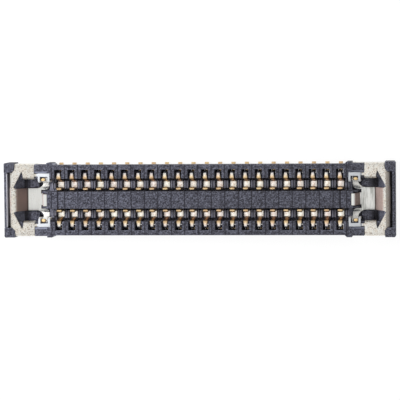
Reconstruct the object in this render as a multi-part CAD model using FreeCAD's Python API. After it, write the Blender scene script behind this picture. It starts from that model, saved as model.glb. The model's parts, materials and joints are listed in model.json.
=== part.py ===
import FreeCAD, Part

import math
import os

# Fine-pitch board connector, receptacle half, seen open side up. All sizes are in millimetres.
# X runs along the contact rows, Y across them, Z up from the board. The origin is the middle of
# the footprint, on the board. The housing is one moulding, each contact is one stamped strip, and
# each end fitting is one stamped and folded sheet. Nothing moves but the springs, which only flex.

# Contact rows
contacts_per_row = 22
contact_pitch = 0.35

# Housing, main part
housing_height = 0.60
row_width = 1.84           # over the two long outer walls
outer_wall = 0.126         # long wall outside the contact pockets
tooth_depth = 0.229        # how far the teeth between the pockets reach inward
island_width = 0.44
pocket_width = 0.195
base_thickness = 0.07      # plastic under the contacts and the end fittings
slot_floor_step = 0.07     # floor of the end cavities above the base
rib_width = 0.106          # ribs between the contacts, in the two long slots
rib_height = 0.18          # above the base
rib_island_gap = 0.064     # deep gap between the island and the ribs
tooth_foot_gap = 0.08      # deep gap between the teeth and the ribs
end_rib_gap = 0.03         # between the last rib and the small frame's leg
undercut_depth = 0.04      # outer walls are cut back near the board, where the tails come out
undercut_height = 0.30

# Contact, one strip of spring metal
contact_thickness = 0.06
contact_width = 0.175      # at the floor plate
tail_reach = 0.04          # how far the solder tail stands out of the long wall
crown_width = 0.107        # the two legs and the rounded turn between the teeth
crown_span = 0.21          # over the two legs of that turn
crown_outer_bend = 0.04
crown_inner_bend = 0.055
crown_setback = 0.059      # from the pocket's outer wall
crown_drop = 0.08          # below the housing's top
spring_width = 0.145
spring_gap = 0.025         # between the island and the spring
spring_bulge = 0.055       # how far the touching bulge stands out of the spring
spring_drop = 0.13         # top of the bulge below the housing's top
bulge_height = 0.15
tip_return = 0.065         # how far the tip turns back toward the island
bend_inside = 0.015        # inside radius of the sharp bends
bend_flats = 1             # flats to a quarter turn in a contact's bends

# Housing, end sections
end_gap = 0.115            # from the last contact to where the body widens
end_length = 1.32          # from there to the end face
shoulder_chamfer = 0.065
shoulder_width = 1.95      # over the shoulders and over the corner blocks
shoulder_length = 0.125
block_setback = 0.11       # from where the body widens to the block beside the small frame
block_length = 0.40
block_width = 1.87
block_opening = 1.40       # between the two blocks of one end
block_bevel = 0.05
corner_length = 0.27
corner_depth = 0.25
corner_chamfer = 0.07
corner_radius = 0.04
end_bar = 0.08
end_bar_drop = 0.02        # end bar below the housing's top
end_groove = 0.05          # between the end bar and the fitting's flange
groove_floor = 0.25
ledge_rise = 0.11          # ledge in each corner of the end cavity, above the slot floor
ledge_setback = 0.12       # in from the foot of the plastic ramp
ledge_length = 0.29
ledge_gap = 0.04           # from the tongue's edge to the ledge
island_overrun = 0.12      # island past the start of the blocks
prong_width = 0.05         # two short prongs on each end of the island
prong_length = 0.10
prong_drop = 0.16          # prongs below the housing's top

# End fitting, one folded sheet
sheet = 0.06
sheet_drop = 0.015         # top of the sheet below the housing's top
sheet_bend = 0.07          # middle radius of the outer folds
fitting_width = 1.89       # over the two side plates
flange_depth = 0.30
end_plate_length = 0.12    # from the flange's inner face to the ramp
ramp_run = 0.215           # how far the ramp reaches inward
ramp_bend = 0.06
fold_flats = 3             # flats to a quarter turn in the sheet's folds
small_fold_flats = 2       # the same in the folds of the small frame and of the arm
tongue_width = 0.59
rise_run = 0.075
hook_width = 0.31
hook_length = 0.045        # hook over the end of the island
hook_bend = 0.04
notch_width = 0.09         # relief notch on each side of the rise
notch_depth = 0.07
flap_opening = 1.15        # between the middles of the two inner flaps
flap_depth = 0.20
flap_length = 0.30
window_lean = 0.03         # the window's point leans outward from the flap's end
window_point = 0.456       # from the tongue's edge to the window's point
window_step = 0.065        # outer corner of the window, past the ramp's upper fold
window_corner = 0.035
foot_height = 0.30
foot_gap = 0.02            # between the shoulder and the foot
frame_length = 0.31        # small square frame beside the block
frame_bar = 0.09
frame_leg = 0.055
frame_reach = 0.24
frame_leg_depth = 0.38
frame_bend = 0.05
link_width = 0.07          # lowered strap between the rim and the frame
link_inset = 0.01          # strap in from the frame's outer edge
link_drop = 0.035
link_lap = 0.03
arm_width = 0.15           # spring arm that rises into the frame
arm_gap = 0.03             # between the frame's leg and the arm
arm_foot = 0.015           # from the tongue's edge to where the arm starts to rise
arm_slope_run = 0.165
arm_slope_rise = 0.08
arm_neck_run = 0.04
arm_tip_run = 0.07
arm_top_gap = 0.02         # arm's crest below the frame
arm_bend = 0.04
arm_flare_width = 0.125    # how far the arm's outer edge has curved in from the tongue
arm_flare_radius = 0.20
arm_heel_radius = 0.12     # corner between the arm's inner edge and the relief notch

# Fits
seat_clearance = 0.01      # between metal and the plastic round it
tail_clearance = 0.0075    # beside a solder tail in its channel

# Heights
top = housing_height
base_z = base_thickness
slot_z = base_z + slot_floor_step
rib_z = base_z + rib_height
plate_top = top - sheet_drop
plate_z = plate_top - sheet
plate_mid = plate_top - sheet / 2
tongue_mid = base_z + sheet / 2
hook_mid = top - sheet / 2

# Places across the rows
wall_y = row_width / 2
pocket_y = wall_y - outer_wall
tooth_y = pocket_y - tooth_depth
island_y = island_width / 2
shoulder_y = shoulder_width / 2
corner_y = shoulder_y - corner_depth
block_y = block_width / 2
frame_y = block_opening / 2
fitting_y = fitting_width / 2
side_mid_y = fitting_y - sheet / 2
core_y = fitting_y - sheet - seat_clearance
tongue_y = tongue_width / 2
hook_y = hook_width / 2
flap_y = flap_opening / 2
cavity_y = flap_y - seat_clearance
frame_in_y = frame_y - frame_reach
leg_mid_y = frame_in_y + sheet / 2

# Places along the rows
row_x = (contacts_per_row - 1) * contact_pitch / 2
widen_x = row_x + end_gap
shoulder_x = widen_x + shoulder_chamfer
shoulder_end_x = shoulder_x + shoulder_length
block_x = widen_x + block_setback
block_end_x = block_x + block_length
island_x = block_x + island_overrun
end_x = widen_x + end_length
corner_x = end_x - corner_length
bar_x = end_x - end_bar
flange_x = bar_x - end_groove
flange_mid_x = flange_x - sheet / 2
wall_end_x = flange_x - sheet - seat_clearance
fold_x = flange_x - sheet - end_plate_length
ramp_foot_x = fold_x - ramp_run
rise_top_x = island_x + seat_clearance + sheet / 2
rise_foot_x = rise_top_x + rise_run
notch_x = rise_foot_x + notch_depth
rim_x = block_end_x + seat_clearance
rim_end_x = corner_x - seat_clearance
flap_end_x = rim_x + flap_length
foot_x = shoulder_end_x + foot_gap
frame_end_x = block_x + frame_length
arm_x = block_x + frame_leg + arm_gap
arm_end_x = arm_x + arm_width
flare_x = arm_end_x + math.sqrt(arm_flare_width * (2 * arm_flare_radius - arm_flare_width))


def box(x, y, z):
    """A block between three pairs of limits."""
    size = [abs(pair[1] - pair[0]) for pair in (x, y, z)]
    corner = FreeCAD.Vector(min(x), min(y), min(z))
    return Part.makeBox(size[0], size[1], size[2], corner)


def prism(outline, low, high):
    """A straight-sided outline in X and Y, raised from one height to another."""
    points = [FreeCAD.Vector(x, y, low) for x, y in outline]
    face = Part.Face(Part.makePolygon(points + points[:1]))
    return face.extrude(FreeCAD.Vector(0, 0, high - low))


def across(outline, half):
    """A straight-sided outline in X and Z, carried along Y to both sides of the middle."""
    points = [FreeCAD.Vector(x, -half, z) for x, z in outline]
    face = Part.Face(Part.makePolygon(points + points[:1]))
    return face.extrude(FreeCAD.Vector(0, 2 * half, 0))


def mirror_x(shape):
    return shape.mirror(FreeCAD.Vector(0, 0, 0), FreeCAD.Vector(1, 0, 0))


def mirror_y(shape):
    return shape.mirror(FreeCAD.Vector(0, 0, 0), FreeCAD.Vector(0, 1, 0))


def both_sides(shapes):
    return shapes + [mirror_y(shape) for shape in shapes]


def four_ways(shapes):
    halves = both_sides(shapes)
    return halves + [mirror_x(shape) for shape in halves]


def moved(shape, x):
    copy = shape.copy()
    copy.translate(FreeCAD.Vector(x, 0, 0))
    return copy


def joined(shapes):
    return shapes[0].multiFuse(shapes[1:]).removeSplitter()


def straight(start, end):
    """Straight edge between two points in X and Y."""
    return Part.LineSegment(FreeCAD.Vector(*start, 0), FreeCAD.Vector(*end, 0)).toShape()


def rounded(centre, radius, first, last):
    """Round edge in X and Y about a centre, between two angles in degrees."""
    points = []
    for angle in (first, (first + last) / 2, last):
        turn = math.radians(angle)
        x = centre[0] + radius * math.cos(turn)
        y = centre[1] + radius * math.sin(turn)
        points.append(FreeCAD.Vector(x, y, 0))
    return Part.Arc(*points).toShape()


def strip_edge(corners, radii, offset, flats):
    """One edge of a folded strip: its middle line set off sideways, with rounded folds."""
    edges = []
    count = len(corners)
    along = [(corners[i + 1] - corners[i]).normalize() for i in range(count - 1)]
    aside = [FreeCAD.Vector(-d.y, d.x, 0) for d in along]
    here = corners[0] + aside[0] * offset
    for i in range(1, count - 1):
        if radii[i - 1] == 0:
            mitre = offset / (1 + aside[i - 1].dot(aside[i]))
            point = corners[i] + (aside[i - 1] + aside[i]) * mitre
            edges.append(Part.LineSegment(here, point).toShape())
            here = point
            continue
        before, after = along[i - 1], along[i]
        turn = math.atan2(before.x * after.y - before.y * after.x, before.dot(after))
        side = math.copysign(1, turn)
        radius = radii[i - 1]
        tangent = corners[i] - before * (radius * math.tan(abs(turn) / 2))
        centre = tangent + aside[i - 1] * (side * radius)
        spoke = tangent + aside[i - 1] * offset - centre
        steps = max(1, round(flats * abs(turn) / (math.pi / 2)))
        path = []
        for step in range(steps + 1):
            swing = FreeCAD.Rotation(FreeCAD.Vector(0, 0, 1), math.degrees(turn * step / steps))
            path.append(centre + swing.multVec(spoke))
        if (path[0] - here).Length > 1e-7:
            edges.append(Part.LineSegment(here, path[0]).toShape())
        edges += [Part.LineSegment(a, b).toShape() for a, b in zip(path, path[1:])]
        here = path[-1]
    edges.append(Part.LineSegment(here, corners[-1] + aside[-1] * offset).toShape())
    return edges, corners[0] + aside[0] * offset, corners[-1] + aside[-1] * offset


def folded_strip(middle, radii, thickness, flats):
    """Section of a folded strip, from the corners of its middle line and a radius for each fold."""
    corners = [FreeCAD.Vector(a, b, 0) for a, b in middle]
    left, left_start, left_end = strip_edge(corners, radii, thickness / 2, flats)
    right, right_start, right_end = strip_edge(corners, radii, -thickness / 2, flats)
    cap = Part.LineSegment(left_end, right_end).toShape()
    base = Part.LineSegment(right_start, left_start).toShape()
    wire = Part.Wire(left + [cap] + right[::-1] + [base])
    return Part.Face(wire)


def strip_along_x(face, low, high):
    """Stands a strip's section up in Y and Z and carries it along X."""
    solid = face.extrude(FreeCAD.Vector(0, 0, high - low))
    solid.rotate(FreeCAD.Vector(0, 0, 0), FreeCAD.Vector(1, 1, 1), 120)
    solid.translate(FreeCAD.Vector(low, 0, 0))
    return solid


def strip_along_y(face, half):
    """Stands a strip's section up in X and Z and carries it along Y, to both sides of the middle."""
    solid = face.extrude(FreeCAD.Vector(0, 0, 2 * half))
    solid.rotate(FreeCAD.Vector(0, 0, 0), FreeCAD.Vector(1, 0, 0), 90)
    solid.translate(FreeCAD.Vector(0, half, 0))
    return solid


def contact():
    """One contact of the row at +Y, in the middle plane of the connector."""
    half = contact_thickness / 2
    bend = bend_inside + half
    leg_y = pocket_y - crown_setback - half
    turn_y = leg_y + contact_thickness - crown_span
    crown_z = top - crown_drop - half
    floor_mid = base_z + half
    spring_y = island_y + spring_gap + half
    bulge_y = spring_y + spring_bulge
    bulge_top = top - spring_drop - half
    bulge_foot = bulge_top - bulge_height
    middle = [
        (wall_y + tail_reach, half),
        (leg_y, half),
        (leg_y, crown_z),
        (turn_y, crown_z),
        (turn_y, floor_mid),
        (spring_y, floor_mid),
        (spring_y, bulge_foot),
        (bulge_y, bulge_top),
        (bulge_y - tip_return, bulge_top),
    ]
    radii = [0, crown_outer_bend, crown_inner_bend, bend, bend, 0, bend]
    face = folded_strip(middle, radii, contact_thickness, bend_flats)
    solid = strip_along_x(face, -contact_width / 2, contact_width / 2)
    shoulder_z = base_z + 2 * contact_thickness
    tail_end_y = wall_y + tail_reach
    between_legs_y = (leg_y + turn_y) / 2
    spring_edge = bulge_y + contact_thickness
    waste = [
        (crown_width, (between_legs_y, tail_end_y), (0, shoulder_z)),
        (crown_width, (spring_edge, tail_end_y), (shoulder_z, top)),
        (spring_width, (0, spring_edge), (shoulder_z, top)),
    ]
    cuts = []
    for width, y, z in waste:
        for side in (-1, 1):
            cuts.append(box((side * width / 2, side * contact_pitch), y, z))
    return solid.cut(cuts)


def side_strip(foot_to_flap):
    """Section of a side plate with its rim, and with the inner flap where it has one."""
    radii = [sheet_bend] * (len(foot_to_flap) - 2)
    return folded_strip(foot_to_flap, radii, sheet, fold_flats)


def side_plate():
    """Side plate, rim and inner flap on the +Y side, with the foot under the block."""
    rim_in_y = side_mid_y - sheet_bend - sheet
    upright = [(side_mid_y, 0), (side_mid_y, plate_mid)]
    flap = [(flap_y, plate_mid), (flap_y, plate_mid - flap_depth)]
    long_strip = strip_along_x(side_strip(upright + [(rim_in_y, plate_mid)]), rim_x, rim_end_x)
    flap_strip = strip_along_x(side_strip(upright + flap), rim_x, flap_end_x)
    foot = box((foot_x, rim_x + sheet), (fitting_y - sheet, fitting_y), (0, foot_height))
    return [long_strip, flap_strip, foot]


def corner_plate():
    """Flat top plate from the end fold to the rim on the +Y side, with the edge of the window."""
    edge_y = side_mid_y - sheet_bend
    edge_x = flange_mid_x - sheet_bend
    inset = corner_chamfer - seat_clearance * (math.sqrt(2) - 1)
    outline = [
        (fold_x, 0),
        (fold_x, tongue_y),
        (fold_x + window_step, tongue_y + window_corner),
        (flap_end_x + window_lean, tongue_y + window_point),
        (flap_end_x, flap_y + sheet_bend),
        (flap_end_x - sheet, flap_y + sheet_bend),
        (flap_end_x - sheet, edge_y),
        (rim_end_x, edge_y),
        (rim_end_x, corner_y + inset),
        (corner_x + inset, corner_y - seat_clearance),
        (edge_x, corner_y - seat_clearance),
        (edge_x, 0),
    ]
    return prism(outline, plate_z, plate_top)


def small_frame():
    """Square frame beside the block on the +Y side, with two legs folded down and a lowered strap."""
    bar = box((block_x, frame_end_x), (frame_y - frame_bar, frame_y), (plate_z, plate_top))
    leg_line = [
        (frame_y - frame_bar / 2, plate_mid),
        (leg_mid_y, plate_mid),
        (leg_mid_y, plate_mid - frame_leg_depth),
    ]
    section = folded_strip(leg_line, [frame_bend], sheet, small_fold_flats)
    inner = strip_along_x(section, block_x, block_x + frame_leg)
    outer = strip_along_x(section, frame_end_x - frame_leg, frame_end_x)
    strap_y = frame_y - link_inset
    strap = box(
        (frame_end_x - link_lap, rim_x + link_lap),
        (strap_y - link_width, strap_y),
        (plate_z - link_drop, plate_top - link_drop),
    )
    return [bar, inner, outer, strap]


def arm():
    """Spring arm on the +Y side, from the tongue's floor up into the small frame."""
    foot_y = tongue_y + arm_foot
    slope_y = foot_y + arm_slope_run
    neck_y = slope_y + arm_neck_run
    crest = plate_z - arm_top_gap - sheet / 2
    middle = [
        (hook_y + notch_width, tongue_mid),
        (foot_y, tongue_mid),
        (slope_y, tongue_mid + arm_slope_rise),
        (neck_y, crest),
        (neck_y + arm_tip_run, crest),
    ]
    section = folded_strip(middle, [arm_bend] * 3, sheet, small_fold_flats)
    blank = strip_along_x(section, arm_x, flare_x)
    turn_y = tongue_y + arm_flare_radius
    last = math.degrees(math.atan2(tongue_y + arm_flare_width - turn_y, arm_end_x - flare_x))
    outer = [
        rounded((flare_x, turn_y), arm_flare_radius, last, -90),
        straight((flare_x, tongue_y), (flare_x, wall_y)),
        straight((flare_x, wall_y), (arm_end_x, wall_y)),
        straight((arm_end_x, wall_y), (arm_end_x, tongue_y + arm_flare_width)),
    ]
    heel_y = hook_y + notch_width
    round_x = arm_x + arm_heel_radius
    round_y = heel_y + arm_heel_radius
    inner = [
        rounded((round_x, round_y), arm_heel_radius, 180, 270),
        straight((round_x, heel_y), (arm_x, heel_y)),
        straight((arm_x, heel_y), (arm_x, round_y)),
    ]
    waste = []
    for edges in (outer, inner):
        waste.append(Part.Face(Part.Wire(edges)).extrude(FreeCAD.Vector(0, 0, top)))
    return blank.cut(waste)


def end_fitting():
    """The folded sheet at the +X end."""
    half_end = corner_y - seat_clearance
    flange_line = [
        (flange_mid_x, plate_mid - flange_depth),
        (flange_mid_x, plate_mid),
        (fold_x + window_step, plate_mid),
    ]
    flange = strip_along_y(folded_strip(flange_line, [sheet_bend], sheet, fold_flats), half_end)
    tongue_line = [
        (flange_mid_x - sheet_bend, plate_mid),
        (fold_x, plate_mid),
        (ramp_foot_x, tongue_mid),
        (rise_foot_x, tongue_mid),
        (rise_top_x, hook_mid),
        (island_x - hook_length, hook_mid),
    ]
    tongue_radii = [ramp_bend, ramp_bend, ramp_bend, hook_bend]
    tongue = strip_along_y(folded_strip(tongue_line, tongue_radii, sheet, fold_flats), tongue_y)
    beside_rise = box((0, notch_x), (hook_y, fitting_y), (0, top))
    tongue = tongue.cut(both_sides([beside_rise]))
    sides = side_plate() + [corner_plate(), arm()] + small_frame()
    return joined([flange, tongue] + both_sides(sides))


def ramp_face_x(height):
    """Where the plastic ramp under the fitting's ramp lies at a height."""
    rise = plate_mid - tongue_mid
    slant = math.hypot(ramp_run, rise) / rise
    middle = fold_x - (plate_mid - height) * ramp_run / rise
    return middle + (sheet / 2 + seat_clearance) * slant


def corner_block():
    """Corner block at +X and +Y, rounded outside and cut off toward the fitting."""
    round_x = end_x - corner_radius
    round_y = shoulder_y - corner_radius
    edges = [
        straight((corner_x + corner_chamfer, corner_y), (end_x, corner_y)),
        straight((end_x, corner_y), (end_x, round_y)),
        rounded((round_x, round_y), corner_radius, 0, 90),
        straight((round_x, shoulder_y), (corner_x, shoulder_y)),
        straight((corner_x, shoulder_y), (corner_x, corner_y + corner_chamfer)),
        straight((corner_x, corner_y + corner_chamfer), (corner_x + corner_chamfer, corner_y)),
    ]
    return Part.Face(Part.Wire(edges)).extrude(FreeCAD.Vector(0, 0, top))


def end_solids():
    """Plastic of the end section in the quarter at +X and +Y."""
    shoulder = [
        (row_x, 0),
        (row_x, wall_y),
        (widen_x, wall_y),
        (shoulder_x, shoulder_y),
        (shoulder_end_x, shoulder_y),
        (shoulder_end_x, 0),
    ]
    block_low = foot_height + seat_clearance
    bevel = [
        FreeCAD.Vector(shoulder_x, frame_y, block_low),
        FreeCAD.Vector(shoulder_x, block_y, block_low),
        FreeCAD.Vector(shoulder_x, block_y, top),
        FreeCAD.Vector(shoulder_x, frame_y + block_bevel, top),
        FreeCAD.Vector(shoulder_x, frame_y, top - block_bevel),
    ]
    block_face = Part.Face(Part.makePolygon(bevel + bevel[:1]))
    return [
        prism(shoulder, 0, top),
        box((row_x, wall_end_x), (0, core_y), (0, plate_z)),
        box((row_x, end_x), (0, core_y), (0, groove_floor)),
        block_face.extrude(FreeCAD.Vector(block_end_x - shoulder_x, 0, 0)),
        box((bar_x, end_x), (0, corner_y), (0, top - end_bar_drop)),
        corner_block(),
    ]


def ledge():
    """Raised ledge in the corner of the end cavity at +X and +Y."""
    ledge_end_x = ramp_face_x(slot_z) - ledge_setback
    ledge_x = (ledge_end_x - ledge_length, ledge_end_x)
    ledge_y = (tongue_y + ledge_gap, cavity_y + frame_bend)
    return box(ledge_x, ledge_y, (base_z, slot_z + ledge_rise))


def end_cuts():
    """Room for the end fitting, in the quarter at +X and +Y."""
    gap = seat_clearance
    relief = sheet_bend - sheet / 2
    beyond = top + sheet
    tongue_room = [
        (rise_foot_x - rise_run, base_z),
        (ramp_face_x(base_z), base_z),
        (ramp_face_x(slot_z), slot_z),
        (rise_foot_x - rise_run, slot_z),
    ]
    flap_room_y = flap_y + sheet / 2 + gap
    flap_low = plate_mid - flap_depth - gap
    strap_y = frame_y - link_inset
    arm_slope_y = tongue_y + arm_foot + arm_slope_run
    arm_tip_y = arm_slope_y + arm_neck_run + arm_tip_run
    flap_fold = [
        FreeCAD.Vector(rim_x - gap, flap_room_y - gap, plate_z + gap),
        FreeCAD.Vector(rim_x - gap, flap_room_y - gap, plate_z - relief),
        FreeCAD.Vector(rim_x - gap, flap_room_y, plate_z - relief),
        FreeCAD.Vector(rim_x - gap, flap_room_y + relief, plate_z),
        FreeCAD.Vector(rim_x - gap, flap_room_y + relief, plate_z + gap),
    ]
    fold_face = Part.Face(Part.makePolygon(flap_fold + flap_fold[:1]))
    side_fold = [
        FreeCAD.Vector(rim_x, core_y + gap, plate_z - relief),
        FreeCAD.Vector(rim_x, core_y, plate_z - relief),
        FreeCAD.Vector(rim_x, core_y - relief, plate_z),
        FreeCAD.Vector(rim_x, core_y - relief, plate_z + gap),
        FreeCAD.Vector(rim_x, core_y + gap, plate_z + gap),
    ]
    side_face = Part.Face(Part.makePolygon(side_fold + side_fold[:1]))
    return [
        across(tongue_room, tongue_y + gap),
        box((arm_x - gap, flare_x), (0, arm_slope_y), (base_z, slot_z)),
        box((arm_x - gap, arm_end_x + gap), (frame_in_y, arm_tip_y + gap), (slot_z, beyond)),
        box((rim_x - gap, flap_end_x + gap), (frame_in_y, flap_room_y), (flap_low, beyond)),
        box((block_x - gap, wall_end_x), (0, frame_y), (plate_z, beyond)),
        box(
            (frame_end_x - link_lap - gap, rim_x + link_lap + gap),
            (strap_y - link_width - gap, strap_y + gap),
            (plate_z - link_drop, plate_z),
        ),
        fold_face.extrude(FreeCAD.Vector(flap_length + 2 * gap, 0, 0)),
        side_face.extrude(FreeCAD.Vector(rim_end_x + gap - rim_x, 0, 0)),
    ]


def end_wall_relief():
    """Rounds off the end wall under the flange's fold, along the whole end."""
    relief = sheet_bend - sheet / 2
    gap = seat_clearance
    outline = [
        (wall_end_x - relief, plate_z),
        (wall_end_x, plate_z - relief),
        (wall_end_x + gap, plate_z - relief),
        (wall_end_x + gap, plate_z + gap),
        (wall_end_x - relief, plate_z + gap),
    ]
    return across(outline, corner_y)


def island():
    """Middle island with two prongs and a seat for the hook on each end."""
    body = box((-island_x, island_x), (-island_y, island_y), (0, top))
    prong = box((row_x, island_x + prong_length), (island_y - prong_width, island_y), (0, top - prong_drop))
    hook_seat = box(
        (island_x - hook_length - seat_clearance, island_x + sheet),
        (0, hook_y + seat_clearance),
        (top - sheet, top + sheet),
    )
    return joined([body] + four_ways([prong])).cut(four_ways([hook_seat]))


def contact_room():
    """Cuts for one contact of the row at +Y: its pocket and its tail channel."""
    half = pocket_width / 2
    tail_half = crown_width / 2 + tail_clearance
    leg_in_y = pocket_y - crown_setback - contact_thickness - seat_clearance
    return [
        box((-half, half), (tooth_y, pocket_y), (base_z, top + sheet)),
        box((-tail_half, tail_half), (leg_in_y, wall_y + tail_reach), (-sheet, base_z)),
    ]


def row_places():
    return [index * contact_pitch - row_x for index in range(contacts_per_row)]


def ribs():
    """Ribs in the slot at +Y, one on each side of every contact, lower ends in the base."""
    low = base_z - undercut_depth
    rib_y = (island_y + rib_island_gap, tooth_y - tooth_foot_gap)
    made = []
    for index in range(contacts_per_row - 1):
        x = (index + 0.5) * contact_pitch - row_x
        made.append(box((x - rib_width / 2, x + rib_width / 2), rib_y, (low, rib_z)))
    end_mid_x = row_x + contact_pitch / 2
    end_rib_x = (end_mid_x - rib_width / 2, end_mid_x + rib_width / 2)
    end_rib = box(end_rib_x, (rib_y[0], frame_in_y - end_rib_gap), (low, rib_z))
    return made + [end_rib, mirror_x(end_rib)]


def undercuts():
    """Cuts along the foot of the long walls and of the end faces."""
    low = (-sheet, undercut_height)
    wall = box((-widen_x, widen_x), (wall_y - undercut_depth, shoulder_y), low)
    end = box((end_x - undercut_depth, end_x + sheet), (-shoulder_y, shoulder_y), low)
    return both_sides([wall]) + [end, mirror_x(end)]


def housing():
    """The moulded housing."""
    main = box((-widen_x, widen_x), (-wall_y, wall_y), (0, top))
    body = joined([main] + four_ways(end_solids()))
    relief = ramp_bend - sheet / 2
    cavity_outline = [
        (widen_x, slot_z),
        (ramp_face_x(slot_z), slot_z),
        (ramp_face_x(plate_z - relief), plate_z - relief),
        (ramp_face_x(plate_z) + relief, plate_z),
        (ramp_face_x(plate_z) + relief, top),
        (widen_x, top),
    ]
    cavity = across(cavity_outline, cavity_y)
    slot = box((-widen_x, widen_x), (-tooth_y, tooth_y), (base_z, top))
    body = body.cut([slot, cavity, mirror_x(cavity)])
    body = joined([body, island()] + four_ways([ledge()]) + both_sides(ribs()))
    fold_room = end_wall_relief()
    body = body.cut(four_ways(end_cuts()) + [fold_room, mirror_x(fold_room)])
    body = joined([body, island()])
    rooms = []
    for x in row_places():
        rooms += [moved(room, x) for room in both_sides(contact_room())]
    return body.cut(rooms + undercuts())


os.makedirs("parts", exist_ok=True)
housing().exportStep("parts/housing.step")
fitting = end_fitting()
fitting.exportStep("parts/right_end_fitting.step")
mirror_x(fitting).exportStep("parts/left_end_fitting.step")
row_contact = {"a": contact()}
row_contact["b"] = mirror_y(row_contact["a"])
for row, shape in row_contact.items():
    for number, x in enumerate(row_places(), start=1):
        moved(shape, x).exportStep(f"parts/contact_{row}{number:02d}.step")
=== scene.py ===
"""Looks of a fine-pitch board connector, receptacle half: a dark moulded housing, two folded end
fittings and two rows of spring contacts. All lengths are in metres, in the frame of the solids:
X along the rows, Y across them, Z up from the board."""

import json
import math

import bmesh
import bpy
from bpy.props import FloatProperty, FloatVectorProperty, IntProperty, PointerProperty
from mathutils import Matrix, Vector

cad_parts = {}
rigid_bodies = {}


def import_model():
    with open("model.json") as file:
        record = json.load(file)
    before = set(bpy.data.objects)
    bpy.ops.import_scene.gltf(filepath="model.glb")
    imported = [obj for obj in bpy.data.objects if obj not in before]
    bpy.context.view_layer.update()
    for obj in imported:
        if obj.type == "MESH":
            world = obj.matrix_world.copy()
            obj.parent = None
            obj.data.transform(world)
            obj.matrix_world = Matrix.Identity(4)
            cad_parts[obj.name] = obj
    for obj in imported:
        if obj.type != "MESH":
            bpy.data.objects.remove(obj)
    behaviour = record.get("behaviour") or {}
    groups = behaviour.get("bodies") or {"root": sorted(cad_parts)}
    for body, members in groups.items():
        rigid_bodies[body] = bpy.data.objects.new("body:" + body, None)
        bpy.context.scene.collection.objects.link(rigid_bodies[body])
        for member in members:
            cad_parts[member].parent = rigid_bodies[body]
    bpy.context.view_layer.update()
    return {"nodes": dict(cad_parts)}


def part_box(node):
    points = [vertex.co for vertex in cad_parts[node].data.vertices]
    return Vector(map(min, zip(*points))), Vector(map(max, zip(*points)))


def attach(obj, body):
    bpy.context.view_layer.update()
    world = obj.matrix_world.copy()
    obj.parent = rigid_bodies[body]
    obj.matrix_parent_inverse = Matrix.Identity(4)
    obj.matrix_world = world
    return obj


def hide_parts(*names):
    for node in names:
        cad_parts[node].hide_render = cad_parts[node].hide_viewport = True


bl_info = {
    "name": "Fine-pitch board connector",
    "version": (1, 0, 0),
    "blender": (4, 5, 0),
    "location": "3D View > Sidebar > Connector",
    "description": "Dresses the solids of a board connector with its moulded and plated finishes",
    "category": "Object",
}

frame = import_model()

MM = 0.001
ROWS = {"a": 1.0, "b": -1.0}
CONTACT_NAMES = sorted(name for name in frame["nodes"] if name.startswith("contact_"))
PER_ROW = len(CONTACT_NAMES) // len(ROWS)


def node_middle(name):
    low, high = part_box(name)
    return (low + high) / 2


FIRST_X = node_middle("contact_a01").x
PITCH = node_middle("contact_a02").x - FIRST_X
LAST_X = -FIRST_X
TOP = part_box("housing")[1].z
FITTING_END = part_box("right_end_fitting")[1].x
CONTACT_LOW, CONTACT_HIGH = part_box("contact_a01")

WELD = 0.00002 * MM
FLAT_ANGLE = math.radians(0.5)
SHARP_ANGLE = math.radians(30)
UPRIGHT_SLACK = 0.002 * MM


def length(name, text, default):
    """A size in metres, shown with its unit."""
    return FloatProperty(name=name, description=text, default=default, precision=6, unit="LENGTH")


def share(name, text, default):
    return FloatProperty(
        name=name, description=text, default=default, min=0.0, max=1.0, subtype="FACTOR"
    )


def angle(name, text, degrees):
    return FloatProperty(name=name, description=text, default=math.radians(degrees), subtype="ANGLE")


def power(name, text, default):
    return FloatProperty(name=name, description=text, default=default, precision=5, unit="POWER")


def place(name, text, default):
    """A place in metres."""
    return FloatVectorProperty(
        name=name, description=text, default=default, size=3, precision=6, subtype="TRANSLATION",
        unit="LENGTH",
    )


def direction(name, text, default):
    return FloatVectorProperty(
        name=name, description=text, default=default, size=3, subtype="DIRECTION"
    )


def colour(name, text, default):
    return FloatVectorProperty(
        name=name, description=text, default=default, size=3, min=0.0, max=1.0, subtype="COLOR"
    )


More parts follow.
